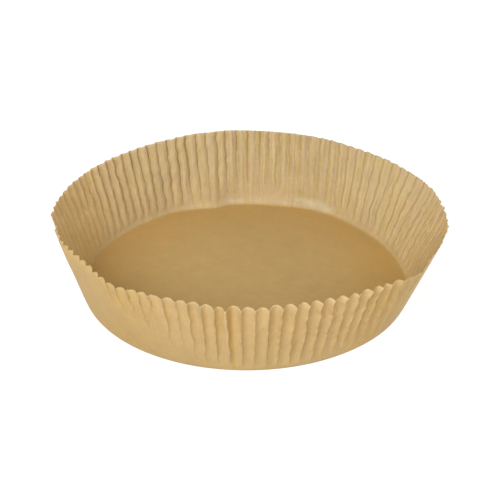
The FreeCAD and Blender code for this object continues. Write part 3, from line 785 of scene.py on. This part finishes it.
# soft patches of redder and of yellower paper
blush = noise(sheet_xy, 1.3, 3.0, 0.5)
redder = mixed("MULTIPLY", 1.0, colour, (1.03, 0.965, 0.93, 1.0))
colour = mixed("MIX", math_node("MULTIPLY", patchy, ramp(blush, 0.52, 0.68, 0.0, 0.75)), colour, redder)
straw = noise(stretched(sheet_xy, (1.0, 1.0, 1.0), 40.0), 2.6, 3.0, 0.55)
strawy = mixed("MULTIPLY", 1.0, colour, (0.985, 1.0, 0.88, 1.0))
colour = mixed("MIX", math_node("MULTIPLY", patchy, ramp(straw, 0.50, 0.66, 0.0, 0.45)), colour, strawy)
# painted shade colour: warmer on shaded flanks, in valleys, by bearing and on the floor near the right
warmer = mixed("MULTIPLY", 1.0, colour, (1.01, 0.955, 0.74, 1.0))
colour = mixed("MIX", math_node("MULTIPLY", warmth_v, 0.61, clamp=True), colour, warmer)
# painted shade at the foot of the wall and on the floor near the front and right
deeper = mixed("MULTIPLY", 1.0, colour, (0.88, 0.86, 0.74, 1.0))
colour = mixed("MIX", math_node("MULTIPLY", foot_v, 0.6, clamp=True), colour, deeper)

# Painted shade: the creases hold a darker, warmer line. Painted highlights: glints and flecks are paler.
warm = mixed("MULTIPLY", 1.0, colour, (0.75, 0.665, 0.42, 1.0))
colour = mixed("MIX", math_node("MINIMUM", fold_v, 1.0), colour, warm)
# painted shade: amber lines down the deepest crease and along creases at the back
amber = mixed("MULTIPLY", 1.0, colour, (0.93, 0.84, 0.52, 1.0))
colour = mixed("MIX", yellow_v, colour, amber)
# painted highlight: a pale band along the top of the outer wall
rim_v = math_node("MULTIPLY", ramp(climb_v, 0.90, 0.98, 0.0, 0.16), math_node("SUBTRACT", 1.0, side_v))
colour = mixed("MIX", rim_v, colour, PAINTED_HIGHLIGHT_COLOUR)
# painted highlights: the glints at the foot of the wall and the flecks on the creases
colour = mixed("MIX", math_node("MULTIPLY", pale_v, 0.75), colour, PAINTED_HIGHLIGHT_COLOUR)

height = math_node("ADD", math_node("MULTIPLY", grain, 0.35), math_node("MULTIPLY", fibres, 0.5))
height = math_node("ADD", height, math_node("MULTIPLY", mottle, 0.8))
wall_height = math_node("ADD", math_node("MULTIPLY", streaks, 2.2), math_node("MULTIPLY", crumples, 3.0))
height = math_node("ADD", height, math_node("MULTIPLY", wall_height, on_wall))
bump = node("ShaderNodeBump", Strength=0.6, Distance=0.00008)
link(height, bump.inputs["Height"])

gloss = math_node("ADD", 0.44, math_node("MULTIPLY", mottle, 0.22))
out = node("ShaderNodeOutputMaterial")
bsdf = nt.nodes.new("ShaderNodeBsdfPrincipled")
bsdf.inputs["Specular IOR Level"].default_value = 0.20
link(colour, bsdf.inputs["Base Color"])
link(gloss, bsdf.inputs["Roughness"])
link(bump.outputs[0], bsdf.inputs["Normal"])
link(bsdf.outputs[0], out.inputs[0])
mesh.materials.append(mat)

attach(liner, "root")
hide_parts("liner")

# ---------------------------------------------------------- floor and light ----
WORLD = 0.40
LIGHTS = (("front", -100.0, 38.0, 16.6), ("front_left", -125.0, 38.0, 9.2),
          ("right", 20.0, 12.0, 17.5), ("left", 150.0, 12.0, 6.4))

bpy.ops.mesh.primitive_plane_add(size=8.0, location=(0, 0, -0.00005))
ground = bpy.context.object
ground.name = "floor"
gm = bpy.data.materials.new("floor")
gm.use_nodes = True
gb = gm.node_tree.nodes["Principled BSDF"]
gb.inputs["Base Color"].default_value = (0.25, 0.25, 0.25, 1)
gb.inputs["Roughness"].default_value = 0.9
gb.inputs["Specular IOR Level"].default_value = 0.1
gb.inputs["Emission Color"].default_value = (1, 1, 1, 1)
gb.inputs["Emission Strength"].default_value = 0.84
ground.data.materials.append(gm)

world = bpy.data.worlds.new("world")
bpy.context.scene.world = world
world.use_nodes = True
world.node_tree.nodes["Background"].inputs[0].default_value = (1, 1, 1, 1)
world.node_tree.nodes["Background"].inputs[1].default_value = WORLD


def softbox(name, azimuth, elevation, distance, size, power, colour=(1, 1, 1)):
    lamp = bpy.data.lights.new(name, "AREA")
    lamp.shape, lamp.size, lamp.energy, lamp.color = "DISK", size, power, colour
    ob = bpy.data.objects.new(name, lamp)
    bpy.context.scene.collection.objects.link(ob)
    a, e = math.radians(azimuth), math.radians(elevation)
    away = Vector((math.cos(a) * math.cos(e), math.sin(a) * math.cos(e), math.sin(e)))
    ob.location = away * distance + Vector((0, 0, 0.02))
    ob.rotation_euler = away.to_track_quat("Z", "Y").to_euler()
    return ob


for name, azimuth, elevation, power in LIGHTS:
    softbox(name, azimuth, elevation, 1.6, 0.9, power)

bpy.context.scene.view_settings.view_transform = "Standard"
bpy.context.scene.view_settings.look = "None"
